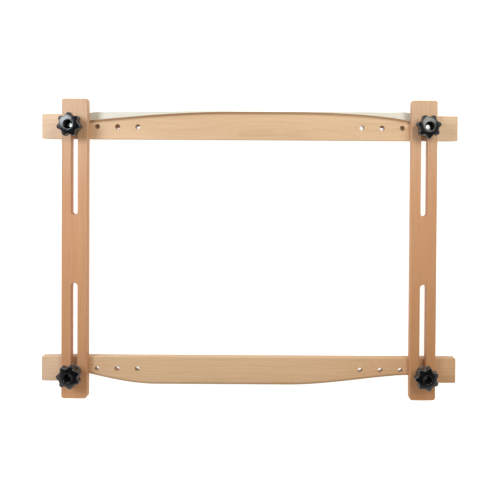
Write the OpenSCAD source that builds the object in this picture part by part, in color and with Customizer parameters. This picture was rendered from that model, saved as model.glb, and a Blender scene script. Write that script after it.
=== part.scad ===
// Adjustable flat embroidery frame. Two crowned rails lie behind two slotted side bars,
// and a carriage bolt with a seven-lobed hand knob clamps them at each crossing.
// X runs along the rails, Y along the side bars and Z from the back of the frame to its front.
// The frame lies on the heads of its four bolts, at Z = 0.

/* [Rails] */
// Length of each rail, end to end
rail_length = 700; // [640:10:900]
// Thickness of a rail, back to front
rail_thickness = 12; // [10:1:18]
// Height of the end tabs, from the straight inner edge to the outer edge
tab_height = 42; // [37:1:50]
// Distance from the inner edge to the row of bolt holes
hole_row = 21; // [17:0.5:24]
// Height of the top rail at its crown
top_crown = 47.8; // [43:0.2:54]
// Height of the top rail beside the side bars
top_neck = 31.5; // [30:0.5:38]
// Length of the top rail's full crown, left of the middle
top_crown_left = 20; // [0:5:200]
// Length of the top rail's full crown, right of the middle
top_crown_right = 65; // [0:5:200]
// Height of the bottom rail at its crown
bottom_crown = 47.4; // [43:0.2:54]
// Height of the bottom rail beside the side bars
bottom_neck = 29.5; // [27:0.5:38]
// Length of the bottom rail's full crown, left of the middle
bottom_crown_left = 155; // [0:5:200]
// Length of the bottom rail's full crown, right of the middle
bottom_crown_right = 65; // [0:5:200]
// How gently a left-hand curve leaves the neck: 1 starts it at its full slope
neck_softness = 1; // [0.6:0.05:2]
// The same for the right half of the top rail
top_right_softness = 0.65; // [0.6:0.05:2]
// The same for the right half of the bottom rail
bottom_right_softness = 1.35; // [0.6:0.05:2]
// Radius of the rounding along the crowned outer edges
outer_round = 4.5; // [1:0.5:5]
// Radius of the rounding along the tabs' outer edges
tab_round = 1.5; // [1:0.5:5]
// Bevel of the straight inner edges
inner_bevel = 1.2; // [0.5:0.1:3]
// Radius of the end tabs' corners
tab_corner = 3; // [2:0.5:8]
// Distance from a rail's end to its outermost hole
end_to_hole = 59.5; // [50:0.5:60]
// Spacing of the holes in the row
hole_pitch = 34; // [28:1:40]
// Number of holes at each end, the outermost one for the bolt
holes_per_end = 4; // [2:1:5]
// Diameter of the holes
hole_d = 8.4; // [8.4:0.1:9]

/* [Side bars] */
// Length of each side bar
bar_length = 500; // [440:10:700]
// Width of a side bar
bar_width = 43; // [36:1:50]
// Thickness of a side bar
bar_thickness = 12; // [9:1:14]
// Radius of the two corners at the top end
bar_top_corner = 5; // [2:0.5:9]
// Radius of the two corners at the bottom end
bar_bottom_corner = 7; // [2:0.5:9]
// Rounding of the side bars' edges
bar_edge = 1.2; // [0.5:0.1:2]
// Width of the slots
slot_width = 11.2; // [9:0.2:12]
// Length of each slot, end to end
slot_length = 152; // [80:2:170]
// Distance from a bar's end to its nearer slot
bar_end_to_slot = 41.3; // [36:0.1:50]
// Gap between the bolt and the slot's end at the stop
stop_gap = 0.2; // [0.1:0.1:0.5]

/* [Carriage bolts and washers] */
// Thread diameter of the bolts
bolt_d = 8; // [7:0.5:8]
// Length of a bolt under its head
bolt_length = 40; // [37:0.5:48]
// Diameter of the domed head
head_d = 20.6; // [16:0.2:21]
// Height of the domed head
head_height = 4.9; // [3.5:0.1:6]
// Width of the square neck under the head
neck_square = 8; // [7.5:0.1:8.4]
// Depth of the square neck
neck_depth = 4.5; // [3:0.5:6]
// Chamfer at the bolt's end
bolt_chamfer = 0.8; // [0.3:0.1:1.5]
// Diameter of the washers
washer_d = 24; // [20:1:30]
// Thickness of the washers
washer_thickness = 2; // [1.5:0.5:3]
// Radial gap between a bolt and its washer
washer_gap = 0.2; // [0.1:0.1:0.5]

/* [Hand knobs] */
// Diameter over the lobes
knob_d = 40; // [36:1:44]
// Height of a knob
knob_height = 26; // [22:1:32]
// Number of lobes
knob_lobes = 7; // [5:1:8]
// Radius of each lobe's nose
lobe_radius = 4.2; // [3.4:0.2:5]
// Diameter at the floor of the grip notches
notch_floor_d = 31; // [26:0.2:32]
// Diameter of the hub below the lobes
hub_d = 18; // [16:1:22]
// Height of the hub below the lobes
hub_height = 14; // [7:0.5:17]
// How far the top falls from the recess to the lobes
dome_drop = 3; // [1:0.2:5]
// Radius of the rim between the top and the lobes' sides
rim_round = 2; // [1:0.5:3]
// Diameter of the recess in the top
recess_d = 14; // [12:0.5:17]
// Diameter of the threaded steel insert
insert_d = 12; // [11:0.5:13]
// Length of the insert
insert_length = 10; // [7:0.5:10.5]
// Plastic left between the insert and the recess
recess_web = 1; // [0.5:0.5:3]
// Radial gap in the thread between a bolt and its insert
thread_gap = 0.05; // [0.02:0.01:0.1]

/* [Webbing] */
// Thickness of the cotton webbing on each rail's back
webbing_thickness = 0.8; // [0.5:0.1:1.5]
// Height of the top webbing's straight free edge
top_webbing_height = 49.4; // [48:0.2:54]
// How far inside the crowned edge the top webbing's fixed edge runs
webbing_overlap = 18.5; // [14:0.5:20]
// Distance from a rail's end to the end of the top webbing
top_webbing_end = 74; // [72:1:110]
// Height of the bottom webbing's free edge
bottom_webbing_height = 43.5; // [38:0.5:44]
// Width of the bottom webbing
bottom_webbing_width = 22; // [16:1:25]
// Gap between the bottom webbing and the holes it stops short of
bottom_webbing_gap = 7; // [2:1:40]
// How far the webbing's free corners droop
corner_droop = 2.2; // [0.5:0.1:4]
// Length of the drooping corners
corner_run = 16; // [8:1:30]
// Number of staples in each webbing
staples_per_rail = 9; // [3:2:11]
// Width of a staple's crown
staple_width = 10; // [8:1:13]
// Thickness of the staple wire
staple_wire = 0.8; // [0.6:0.1:1]
// Length of a staple's legs, from the webbing's face
staple_leg = 8; // [6:1:10]
// Distance from a webbing's fixed edge to its row of staples
staple_row = 2.8; // [2:0.2:4]
// Distance between the last staples and the webbing's ends
staple_margin = 36; // [15:1:60]

/* [Hidden] */
$fn = 64;

// The faces of the stack, from the floor to the knobs
rail_back = head_height;
rail_front = rail_back + rail_thickness;
bar_front = rail_front + bar_thickness;
washer_front = bar_front + washer_thickness;

// The four crossings
bolt_x = rail_length / 2 - end_to_hole;
bolt_y = bar_length / 2 - bar_end_to_slot - stop_gap - bolt_d / 2;
inner_edge_y = bolt_y - hole_row;

// The stretch behind a side bar where a rail steps down from its tab to its neck
shoulder_run = 0.35 * bar_width;
neck_x = bolt_x - 0.42 * bar_width;

// How finely the rails are divided
curve_steps = 18;
shoulder_steps = 6;
corner_steps = 5;
round_steps = 5;

// How each knob is turned, in degrees from +X to the middle of a lobe
top_left_turn = 39.4;
top_right_turn = 12.5;
bottom_left_turn = 24;
bottom_right_turn = 25;

// How far a cut runs past the face it opens
past = 1;

// Rails: each is a loft of rounded cross-sections, set out from the middle to each end

// Share of the way from the neck, at 0, over the shoulder to the tab, at 1
function on_shoulder(d) = (1 - cos(180 * max(0, min(1, (d - neck_x) / shoulder_run)))) / 2;

// Height of a rail at a distance from its middle
function rail_height(d, crown, neck, flat, softness) =
    d <= flat ? crown
    : d <= neck_x ? neck + (crown - neck) * sin(90 * pow((neck_x - d) / (neck_x - flat), softness))
    : neck + (tab_height - neck) * on_shoulder(d);

// Radius of the outer edge's rounding at a distance from the middle
function edge_round(d) = outer_round + (tab_round - outer_round) * on_shoulder(d);

// Height of the top rail at a place along it
function top_rail_height(x) = x < 0
    ? rail_height(-x, top_crown, top_neck, top_crown_left, neck_softness)
    : rail_height(x, top_crown, top_neck, top_crown_right, top_right_softness);

// How far a rounded corner of radius r has drawn in at a distance d from its end
function drawn_in(d, r) = d < r ? r - sqrt(r * r - (r - d) * (r - d)) : 0;

// Distances from the middle at which one half of a rail has a cross-section
function half_stations(flat) = concat(
    flat > 0 ? [0, flat] : [0],
    [for (i = [1 : curve_steps]) flat + (neck_x - flat) * i / curve_steps],
    [for (i = [1 : shoulder_steps]) neck_x + shoulder_run * i / shoulder_steps],
    [for (i = [0 : corner_steps]) rail_length / 2 - tab_corner * (1 - sin(90 * i / corner_steps))]
);

function reversed(list) = [for (i = [len(list) - 1 : -1 : 0]) list[i]];

// One cross-section as [y, z] points: bevelled inner edge, rounded outer edge
function rail_section(d, height) =
    let (
        from_end = rail_length / 2 - d,
        low = drawn_in(from_end, tab_corner),
        high = height - low,
        back = drawn_in(from_end, inner_bevel),
        front = rail_thickness - back,
        r = edge_round(d)
    )
    concat(
        [[low + inner_bevel, back], [low, back + inner_bevel]],
        [[low, front - inner_bevel], [low + inner_bevel, front]],
        [for (i = [0 : round_steps]) let (a = 90 - 90 * i / round_steps)
            [high - r + r * cos(a), front - r + r * sin(a)]],
        [for (i = [0 : round_steps]) let (a = -90 * i / round_steps)
            [high - r + r * cos(a), back + r + r * sin(a)]]
    );

// Both triangles of each side face between neighbouring rings, and a face on each end
function loft_faces(rings, points) = concat(
    [[for (k = [0 : points - 1]) k]],
    [for (i = [0 : rings - 2], k = [0 : points - 1]) let (n = (k + 1) % points)
        [i * points + k, (i + 1) * points + k, (i + 1) * points + n]],
    [for (i = [0 : rings - 2], k = [0 : points - 1]) let (n = (k + 1) % points)
        [i * points + k, (i + 1) * points + n, i * points + n]],
    [[for (k = [points - 1 : -1 : 0]) (rings - 1) * points + k]]
);

module rail_blank(crown, neck, flat_left, flat_right, soft_left, soft_right) {
    left = reversed(half_stations(flat_left));
    right = half_stations(flat_right);
    rings = concat(
        [for (d = left) [for (p = rail_section(d, rail_height(d, crown, neck, flat_left, soft_left)))
            [-d, p[0], p[1]]]],
        [for (i = [1 : len(right) - 1]) let (d = right[i])
            [for (p = rail_section(d, rail_height(d, crown, neck, flat_right, soft_right)))
                [d, p[0], p[1]]]]
    );
    polyhedron(
        points = [for (ring = rings, p = ring) p],
        faces = loft_faces(len(rings), len(rings[0])),
        convexity = 4
    );
}

// The rows of holes, and the square pockets that hold the bolts' necks
module rail_holes() {
    for (side = [-1, 1]) {
        for (i = [0 : holes_per_end - 1])
            translate([side * (bolt_x - i * hole_pitch), hole_row, -past])
                cylinder(d = hole_d, h = rail_thickness + 2 * past);
        translate([side * bolt_x - neck_square / 2, hole_row - neck_square / 2, -past])
            cube([neck_square, neck_square, neck_depth + past]);
    }
}

module top_rail() {
    color("burlywood")
        translate([0, inner_edge_y, rail_back])
            difference() {
                rail_blank(top_crown, top_neck, top_crown_left, top_crown_right,
                    neck_softness, top_right_softness);
                rail_holes();
            }
}

module bottom_rail() {
    color("burlywood")
        mirror([0, 1, 0])
            translate([0, inner_edge_y, rail_back])
                difference() {
                    rail_blank(bottom_crown, bottom_neck, bottom_crown_left, bottom_crown_right,
                        neck_softness, bottom_right_softness);
                    rail_holes();
                }
}

// Side bars: the plan and the two edge profiles cross, so every edge is rounded

module rounded_rectangle(width, height, r) {
    square([width - 2 * r, height], center = true);
    square([width, height - 2 * r], center = true);
    for (x = [-1, 1], y = [-1, 1])
        translate([x * (width / 2 - r), y * (height / 2 - r)])
            circle(r = r);
}

// Half of the plan, from the middle to an end whose corners have radius r
module half_bar_plan(r) {
    translate([-bar_width / 2, 0])
        square([bar_width, bar_length / 2 - r]);
    translate([r - bar_width / 2, 0])
        square([bar_width - 2 * r, bar_length / 2]);
    for (x = [-1, 1])
        translate([x * (bar_width / 2 - r), bar_length / 2 - r])
            circle(r = r);
}

module bar_plan() {
    half_bar_plan(bar_top_corner);
    mirror([0, 1])
        half_bar_plan(bar_bottom_corner);
}

module slot() {
    for (end = [slot_width / 2, slot_length - slot_width / 2])
        translate([0, end, -past])
            cylinder(d = slot_width, h = bar_thickness + 2 * past);
    translate([-slot_width / 2, slot_width / 2, -past])
        cube([slot_width, slot_length - slot_width, bar_thickness + 2 * past]);
}

module side_bar() {
    difference() {
        intersection() {
            linear_extrude(height = bar_thickness)
                bar_plan();
            translate([0, bar_length / 2, bar_thickness / 2])
                rotate([90, 0, 0])
                    linear_extrude(height = bar_length)
                        rounded_rectangle(bar_width, bar_thickness, bar_edge);
            translate([-bar_width / 2, 0, bar_thickness / 2])
                rotate([90, 0, 90])
                    linear_extrude(height = bar_width)
                        rounded_rectangle(bar_length, bar_thickness, bar_edge);
        }
        for (side = [0, 1])
            mirror([0, side, 0])
                translate([0, bar_length / 2 - bar_end_to_slot - slot_length, 0])
                    slot();
    }
}

module left_side_bar() {
    color("tan")
        translate([-bolt_x, 0, rail_front])
            side_bar();
}

module right_side_bar() {
    color("tan")
        translate([bolt_x, 0, rail_front])
            side_bar();
}

// Fastenings: x and y are -1 or 1 and pick the crossing

module at_crossing(x, y, z) {
    translate([x * bolt_x, y * bolt_y, z])
        children();
}

// A domed head, a square neck and a round shank
module carriage_bolt() {
    dome_r = (head_d * head_d / 4 + head_height * head_height) / (2 * head_height);
    color("silver") {
        intersection() {
            translate([0, 0, dome_r])
                sphere(r = dome_r);
            cylinder(d = head_d, h = head_height);
        }
        translate([-neck_square / 2, -neck_square / 2, head_height])
            cube([neck_square, neck_square, neck_depth]);
        translate([0, 0, head_height])
            cylinder(d = bolt_d, h = bolt_length - bolt_chamfer);
        translate([0, 0, head_height + bolt_length - bolt_chamfer])
            cylinder(d1 = bolt_d, d2 = bolt_d - 2 * bolt_chamfer, h = bolt_chamfer);
    }
}

module washer() {
    color("gainsboro")
        difference() {
            cylinder(d = washer_d, h = washer_thickness);
            translate([0, 0, -past])
                cylinder(r = bolt_d / 2 + washer_gap, h = washer_thickness + 2 * past);
        }
}

// Hand knob: a star outline crossed with a turned profile, on a round hub

// Lobe and notch arcs that meet on a shared tangent
lobe_step = 360 / knob_lobes;
lobe_centre = knob_d / 2 - lobe_radius;
lobe_over_notch = lobe_radius - notch_floor_d / 2;
notch_centre = (pow(lobe_centre, 2) - pow(lobe_over_notch, 2))
    / (2 * (lobe_centre * cos(lobe_step / 2) + lobe_over_notch));
notch_radius = notch_centre - notch_floor_d / 2;
lobe_sweep = atan2(notch_centre * sin(lobe_step / 2), notch_centre * cos(lobe_step / 2) - lobe_centre);
notch_sweep = lobe_sweep - lobe_step / 2;
lobe_points = 7;
notch_points = 4;

function on_arc(centre, towards, r, a) =
    [centre * cos(towards) + r * cos(a), centre * sin(towards) + r * sin(a)];

function star_outline() = [
    for (lobe = [0 : knob_lobes - 1]) let (a = lobe * lobe_step, b = a + lobe_step / 2) each concat(
        [for (i = [0 : lobe_points])
            on_arc(lobe_centre, a, lobe_radius, a + lobe_sweep * (2 * i / lobe_points - 1))],
        [for (i = [1 : notch_points - 1])
            on_arc(notch_centre, b, notch_radius, b + 180 + notch_sweep * (1 - 2 * i / notch_points))]
    )
];

// Height of the domed top at a distance from the axis
function dome_height(r) =
    knob_height - dome_drop * pow((r - recess_d / 2) / (knob_d / 2 - recess_d / 2), 2);

dome_steps = 4;
rim_steps = 3;
under_bevel = 1;

module knob_envelope() {
    rim_x = knob_d / 2 - rim_round;
    rim_z = dome_height(rim_x) - rim_round;
    rotate_extrude()
        polygon(concat(
            [[0, hub_height], [knob_d / 2 - under_bevel, hub_height]],
            [[knob_d / 2, hub_height + under_bevel]],
            [for (i = [0 : rim_steps]) let (a = 90 * i / rim_steps)
                [rim_x + rim_round * cos(a), rim_z + rim_round * sin(a)]],
            [for (i = [dome_steps - 1 : -1 : 0]) let (r = recess_d / 2 + (rim_x - recess_d / 2) * i / dome_steps)
                [r, dome_height(r)]],
            [[0, knob_height]]
        ));
}

module knob(turn) {
    recess_floor = insert_length + recess_web;
    color([0.09, 0.09, 0.1])
        rotate([0, 0, turn])
            difference() {
                union() {
                    intersection() {
                        linear_extrude(height = knob_height)
                            polygon(star_outline());
                        knob_envelope();
                    }
                    cylinder(d = hub_d, h = hub_height);
                }
                translate([0, 0, recess_floor])
                    cylinder(d = recess_d, h = knob_height);
                translate([0, 0, -past])
                    cylinder(d = insert_d, h = insert_length + past);
                translate([0, 0, -past])
                    cylinder(r = bolt_d / 2 + washer_gap, h = knob_height);
            }
}

module insert() {
    color("silver")
        difference() {
            cylinder(d = insert_d, h = insert_length);
            translate([0, 0, -past])
                cylinder(r = bolt_d / 2 + thread_gap, h = insert_length + 2 * past);
        }
}

module top_left_bolt() { at_crossing(-1, 1, 0) carriage_bolt(); }
module top_right_bolt() { at_crossing(1, 1, 0) carriage_bolt(); }
module bottom_left_bolt() { at_crossing(-1, -1, 0) carriage_bolt(); }
module bottom_right_bolt() { at_crossing(1, -1, 0) carriage_bolt(); }

module top_left_washer() { at_crossing(-1, 1, bar_front) washer(); }
module top_right_washer() { at_crossing(1, 1, bar_front) washer(); }
module bottom_left_washer() { at_crossing(-1, -1, bar_front) washer(); }
module bottom_right_washer() { at_crossing(1, -1, bar_front) washer(); }

module top_left_knob() { at_crossing(-1, 1, washer_front) knob(top_left_turn); }
module top_right_knob() { at_crossing(1, 1, washer_front) knob(top_right_turn); }
module bottom_left_knob() { at_crossing(-1, -1, washer_front) knob(bottom_left_turn); }
module bottom_right_knob() { at_crossing(1, -1, washer_front) knob(bottom_right_turn); }

module top_left_insert() { at_crossing(-1, 1, washer_front) insert(); }
module top_right_insert() { at_crossing(1, 1, washer_front) insert(); }
module bottom_left_insert() { at_crossing(-1, -1, washer_front) insert(); }
module bottom_right_insert() { at_crossing(1, -1, washer_front) insert(); }

// Webbing: a flat strip on each rail's back. The top one's fixed edge follows the crown, the
// free edge is straight, and its corners droop.

top_webbing_x = rail_length / 2 - top_webbing_end;
bottom_webbing_x = bolt_x - (holes_per_end - 1) * hole_pitch - hole_d / 2 - bottom_webbing_gap;
bottom_webbing_low = bottom_webbing_height - bottom_webbing_width;
fixed_edge_steps = 24;
droop_steps = 4;

function top_fixed_edge(x) = top_rail_height(x) - webbing_overlap;

module webbing(fixed_edge, half_length, free_height) {
    droop = [for (i = [0 : droop_steps]) let (t = i / droop_steps)
        [half_length - corner_run * (1 - t), free_height - corner_droop * t * t]];
    color("ivory")
        translate([0, inner_edge_y, rail_back - webbing_thickness])
            linear_extrude(height = webbing_thickness)
                polygon(concat(fixed_edge, reversed(droop), [for (p = droop) [-p[0], p[1]]]));
}

// One wire staple, its crown centred on the webbing and its legs in the wood
module staple() {
    translate([-staple_width / 2, -staple_wire / 2, 0])
        cube([staple_width, staple_wire, staple_wire]);
    for (side = [-1, 1])
        translate([side * (staple_width - staple_wire) / 2 - staple_wire / 2, -staple_wire / 2, 0])
            cube([staple_wire, staple_wire, staple_leg]);
}

function staple_places(half_length) =
    [for (i = [0 : staples_per_rail - 1])
        (half_length - staple_margin) * (2 * i / (staples_per_rail - 1) - 1)];

module staples(places) {
    color("silver")
        for (p = places)
            translate([p[0], inner_edge_y + p[1] + staple_row, rail_back - webbing_thickness - staple_wire])
                staple();
}

module top_webbing() {
    webbing([for (i = [0 : fixed_edge_steps]) let (x = top_webbing_x * (2 * i / fixed_edge_steps - 1))
        [x, top_fixed_edge(x)]], top_webbing_x, top_webbing_height);
}

module bottom_webbing() {
    mirror([0, 1, 0])
        webbing([for (x = [-bottom_webbing_x, bottom_webbing_x]) [x, bottom_webbing_low]],
            bottom_webbing_x, bottom_webbing_height);
}

module top_staples() {
    staples([for (x = staple_places(top_webbing_x)) [x, top_fixed_edge(x)]]);
}

module bottom_staples() {
    mirror([0, 1, 0])
        staples([for (x = staple_places(bottom_webbing_x)) [x, bottom_webbing_low]]);
}

top_rail();
bottom_rail();
left_side_bar();
right_side_bar();
top_left_bolt();
top_right_bolt();
bottom_left_bolt();
bottom_right_bolt();
top_left_washer();
top_right_washer();
bottom_left_washer();
bottom_right_washer();
top_left_knob();
top_right_knob();
bottom_left_knob();
bottom_right_knob();
top_left_insert();
top_right_insert();
bottom_left_insert();
bottom_right_insert();
top_webbing();
bottom_webbing();
top_staples();
bottom_staples();
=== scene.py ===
"""Looks of a flat adjustable embroidery frame: beech rails and side bars, star knobs, zinc-plated
bolts, washers and inserts, stapled cotton webbing, and the stage that they are shown on.
"""
from math import atan2, cos, pi, radians, sin, tau

import bmesh
import bpy
import numpy as np
from bpy.props import FloatProperty, FloatVectorProperty, IntProperty, PointerProperty
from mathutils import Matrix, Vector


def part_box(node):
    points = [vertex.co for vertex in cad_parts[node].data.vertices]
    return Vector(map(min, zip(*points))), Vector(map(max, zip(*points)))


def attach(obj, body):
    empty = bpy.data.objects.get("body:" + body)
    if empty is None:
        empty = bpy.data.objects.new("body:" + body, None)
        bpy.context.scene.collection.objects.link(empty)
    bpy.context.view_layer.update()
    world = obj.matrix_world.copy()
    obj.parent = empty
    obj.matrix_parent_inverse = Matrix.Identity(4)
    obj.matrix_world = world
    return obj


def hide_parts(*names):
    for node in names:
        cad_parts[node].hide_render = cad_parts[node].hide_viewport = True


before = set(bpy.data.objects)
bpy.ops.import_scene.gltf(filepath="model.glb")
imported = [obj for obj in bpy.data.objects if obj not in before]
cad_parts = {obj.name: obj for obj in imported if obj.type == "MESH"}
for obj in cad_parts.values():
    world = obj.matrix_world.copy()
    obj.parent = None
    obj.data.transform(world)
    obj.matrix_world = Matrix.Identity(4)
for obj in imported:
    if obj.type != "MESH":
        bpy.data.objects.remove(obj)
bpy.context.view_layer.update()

bl_info = {
    "name": "Embroidery frame",
    "version": (1, 0, 0),
    "blender": (4, 5, 0),
    "location": "3D View > Sidebar > Embroidery frame",
    "description": "Makes the finished pieces of a flat adjustable embroidery frame",
    "category": "Object",
}

MM = 0.001
# Which way each rail's outer edge lies
RAILS = {"top_rail": 1, "bottom_rail": -1}


def span(node):
    """Length, width and height of a node's box."""
    low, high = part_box(node)
    return high - low


def middle(node):
    """Middle of a node's box."""
    low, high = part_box(node)
    return (low + high) / 2


# What the frame says of the crossings and of the faces of the stack
BOLT_X, BOLT_Y = middle("top_right_bolt").xy
INNER_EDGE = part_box("top_rail")[0].y
RAIL_BACK, RAIL_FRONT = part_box("top_rail")[0].z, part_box("top_rail")[1].z
BAR_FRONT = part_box("left_side_bar")[1].z
KNOB_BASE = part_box("top_left_knob")[0].z
BOLT_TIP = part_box("top_left_bolt")[1].z
# Where the bolts stand
CROSSINGS = {"top_left": (-BOLT_X, BOLT_Y, 0), "top_right": (BOLT_X, BOLT_Y, 0),
             "bottom_left": (-BOLT_X, -BOLT_Y, 0), "bottom_right": (BOLT_X, -BOLT_Y, 0)}

# How finely the surfaces are divided; points along a line count its ends
CORNER_STEPS = 8
RAIL_EDGE_STEPS, BAR_EDGE_STEPS, RIM_STEPS = 10, 5, 3
INNER_EDGE_POINTS, OUTER_EDGE_POINTS, BAR_SIDE_POINTS = 61, 421, 46
SLOT_END_POINTS, SLOT_SIDE_POINTS = 17, 16
HOLE_COLUMNS, BOLT_COLUMNS, WASHER_COLUMNS, INSERT_COLUMNS = 40, 48, 72, 96
THREAD_ROWS, KNURL_ROWS = 8, 40
LOBE_POINTS, NOTCH_POINTS = 21, 15
KNOB_RIM_STEPS, DOME_STEPS, LIP_STEPS, FILLET_STEPS = 6, 9, 5, 4
WEBBING_ROWS, WEBBING_COLUMNS = 281, 21
STAPLE_BEND_STEPS, STAPLE_COLUMNS = 5, 12


# Settings that a user would change

def length(name, description, millimetres):
    """A length in metres, given in millimetres."""
    return FloatProperty(name=name, description=description, default=millimetres * MM, min=0.0,
                         precision=5, unit="LENGTH", subtype="DISTANCE")


def factor(name, description, default, most=1.0):
    """A plain number from 0 up."""
    return FloatProperty(name=name, description=description, default=default, min=0.0, max=most,
                         subtype="FACTOR")


def angle(name, description, degrees):
    """An angle in radians, given in degrees."""
    return FloatProperty(name=name, description=description, default=radians(degrees),
                         unit="ROTATION", subtype="ANGLE")


def colour(name, description, default):
    """A linear colour."""
    return FloatVectorProperty(name=name, description=description, default=default, size=3,
                               min=0.0, max=1.0, subtype="COLOR")


class RailSettings(bpy.types.PropertyGroup):
    tab_height: length("Tab height", "Height of the end tabs over the straight inner edge", 42)
    tab_corner: length("Tab corner", "Radius of the end tabs' corners", 2.4)
    top_neck: length("Top neck", "Height of the top rail beside the side bars", 31.5)
    bottom_neck: length("Bottom neck", "Height of the bottom rail beside the side bars", 29.5)
    top_crown_left: length("Top crown, left", "Length of the full crown left of the middle", 20)
    top_crown_right: length("Top crown, right", "The same right of the middle", 65)
    bottom_crown_left: length("Bottom crown, left", "The same on the bottom rail, left", 155)
    bottom_crown_right: length("Bottom crown, right", "The same on the bottom rail, right", 65)
    softness: factor("Neck softness", "How gently the left-hand curves leave the neck", 1.0, 2.0)
    top_right_softness: factor("Top right softness", "The same, top right", 0.65, 2.0)
    bottom_right_softness: factor("Bottom right softness", "The same, bottom right", 1.35, 2.0)
    outer_round: length("Outer rounding", "Radius of the crowned outer edges", 4.5)
    tab_round: length("Tab rounding", "Radius of the tabs' outer edges", 1.5)
    inner_round: length("Inner rounding", "Radius of the eased inner edges and ends", 1.2)
    # Width in which the crowned edges' burnished tone and painted shade fade onto the flat face
    burnish_shade_fade: length("Burnish fade", "Width in which the crowned edges' burnish fades", 2.4)
    hole_pitch: length("Hole pitch", "Spacing of the holes in a row", 34)
    hole_diameter: length("Hole diameter", "Diameter of the holes", 8.4)
    holes: IntProperty(name="Holes", description="Holes at each end of a rail", default=4, min=1)
    hole_ease: length("Hole ease", "Radius of the holes' rims", 0.4)
    wood: colour("Wood", "Colour of the rails", (0.752, 0.514, 0.33))
    # Painted light: the rails' ends are paler where the lamps light them more
    pale: colour("Pale wood", "Colour of the rails' paler ends", (0.81, 0.585, 0.42))
    # Painted shade: the bottom rail's right end is darker and ruddier where less light falls
    ruddy_painted_shade: colour("Ruddy wood", "Colour of the bottom rail's ruddier end", (0.725, 0.455, 0.265))
    # Burnished tone of the crowned edges, with painted shade on their rounding
    edge: colour("Burnished edge", "Colour of the rounded outer edges", (0.28, 0.14, 0.05))


class BarSettings(bpy.types.PropertyGroup):
    top_corner: length("Top corner", "Radius of the corners at the top end", 3.5)
    bottom_corner: length("Bottom corner", "Radius of the corners at the bottom end", 5)
    edge_round: length("Edge rounding", "Radius of the eased edges", 1.2)
    slot_width: length("Slot width", "Width of the slots", 11.2)
    slot_length: length("Slot length", "Length of each slot, end to end", 152)
    stop_gap: length("Stop gap", "Gap between a bolt and the slot's end at the stop", 0.2)
    slot_ease: length("Slot ease", "Radius of the slots' rims", 0.5)
    wood: colour("Wood", "Colour of the side bars", (0.64, 0.333, 0.176))
    # Painted light: the bars' upper ends are paler, nearer the lamps
    pale: colour("Pale wood", "Colour of the side bars' paler upper ends", (0.68, 0.435, 0.285))
    # Painted light: the left bar's foot is lighter, lit more from the left
    painted_light_foot: colour("Light foot", "Colour of the left bar's foot", (0.74, 0.385, 0.21))
    # Painted shade: the right bar's lower half is darker, where the light falls off
    painted_shade_foot: colour("Deep foot", "Colour of the right bar's lower half", (0.605, 0.305, 0.148))


class HardwareSettings(bpy.types.PropertyGroup):
    bolt_diameter: length("Bolt diameter", "Thread diameter of the bolts", 8)
    thread_pitch: length("Thread pitch", "Rise of the thread in one turn", 1.25)
    thread_depth: length("Thread depth", "Height of the thread's flanks", 0.62)
    neck_square: length("Neck width", "Width of the square neck under the head", 8)
    neck_depth: length("Neck depth", "Depth of the square neck", 4.5)
    tip_chamfer: length("Tip chamfer", "Chamfer at the bolt's end", 0.8)
    washer_bore: length("Washer bore", "Diameter of the washers' holes", 8.4)
    zinc: colour("Zinc", "Colour of the zinc plate", (0.72, 0.73, 0.74))
    dull_zinc: colour("Dull zinc", "Colour of the washers' dulled plate", (0.20, 0.19, 0.17))


class KnobSettings(bpy.types.PropertyGroup):
    lobes: IntProperty(name="Lobes", description="Number of lobes", default=7, min=3)
    diameter: length("Diameter", "Diameter over the lobes", 40)
    lobe_radius: length("Lobe radius", "Radius of each lobe's nose", 4.2)
    notch_floor: length("Notch floor", "Diameter at the floor of the grip notches", 31)
    hub_diameter: length("Hub diameter", "Diameter of the hub below the lobes", 18)
    hub_height: length("Hub height", "Height of the hub below the lobes", 14)
    dome_drop: length("Dome drop", "How far the top falls from the recess to the lobes", 2.3)
    rim_round: length("Rim rounding", "Radius between the top and the lobes' noses", 2)
    notch_round: length("Notch rounding", "Radius between the top and the grip notches", 1.1)
    draft: length("Draft", "How much narrower the lobes are at the top", 0.25)
    recess_diameter: length("Recess diameter", "Diameter of the recess in the top", 14)
    recess_lip: length("Recess lip", "Radius of the rounding round the recess", 1)
    insert_diameter: length("Insert diameter", "Diameter of the threaded insert", 12)
    insert_length: length("Insert length", "Length of the threaded insert", 10)
    recess_web: length("Recess web", "Plastic between the insert and the recess", 1)
    top_left_turn: angle("Top left turn", "From +X to the middle of a lobe", 39.4)
    top_right_turn: angle("Top right turn", "From +X to the middle of a lobe", 12.5)
    bottom_left_turn: angle("Bottom left turn", "From +X to the middle of a lobe", 24)
    bottom_right_turn: angle("Bottom right turn", "From +X to the middle of a lobe", 25)
    plastic: colour("Plastic", "Colour of the moulded knobs", (0.004, 0.004, 0.0055))


class WebbingSettings(bpy.types.PropertyGroup):
    bottom_width: length("Bottom width", "Width of the bottom webbing", 22)
    overlap: length("Overlap", "From the crowned edge in to the top webbing's fixed edge", 18.5)
    thickness: length("Thickness", "Thickness of the webbing", 0.7)
    corner_droop: length("Corner droop", "How far the free corners droop", 2.2)
    corner_run: length("Corner run", "Length of the drooping corners", 16)
    left_slack: length("Left slack", "How much the top webbing's edges draw in on the left", 2.2)
    right_bend: length("Right bend", "How far the bottom webbing bends inwards at its right end", 6)
    sag: length("Sag", "How far the free edge sags behind the rail", 1.4)
    ripple: length("Ripple", "Height of the free edge's ripples", 0.35)
    staples: IntProperty(name="Staples", description="Staples in each webbing", default=9, min=1)
    staple_width: length("Staple width", "Width of a staple's crown", 10)
    staple_wire: length("Staple wire", "Thickness of the staple wire", 0.8)
    staple_row: length("Staple row", "Distance from a webbing's fixed edge to its staples", 2.8)
    cotton: colour("Cotton", "Colour of the webbing", (0.87, 0.855, 0.80))


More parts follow.
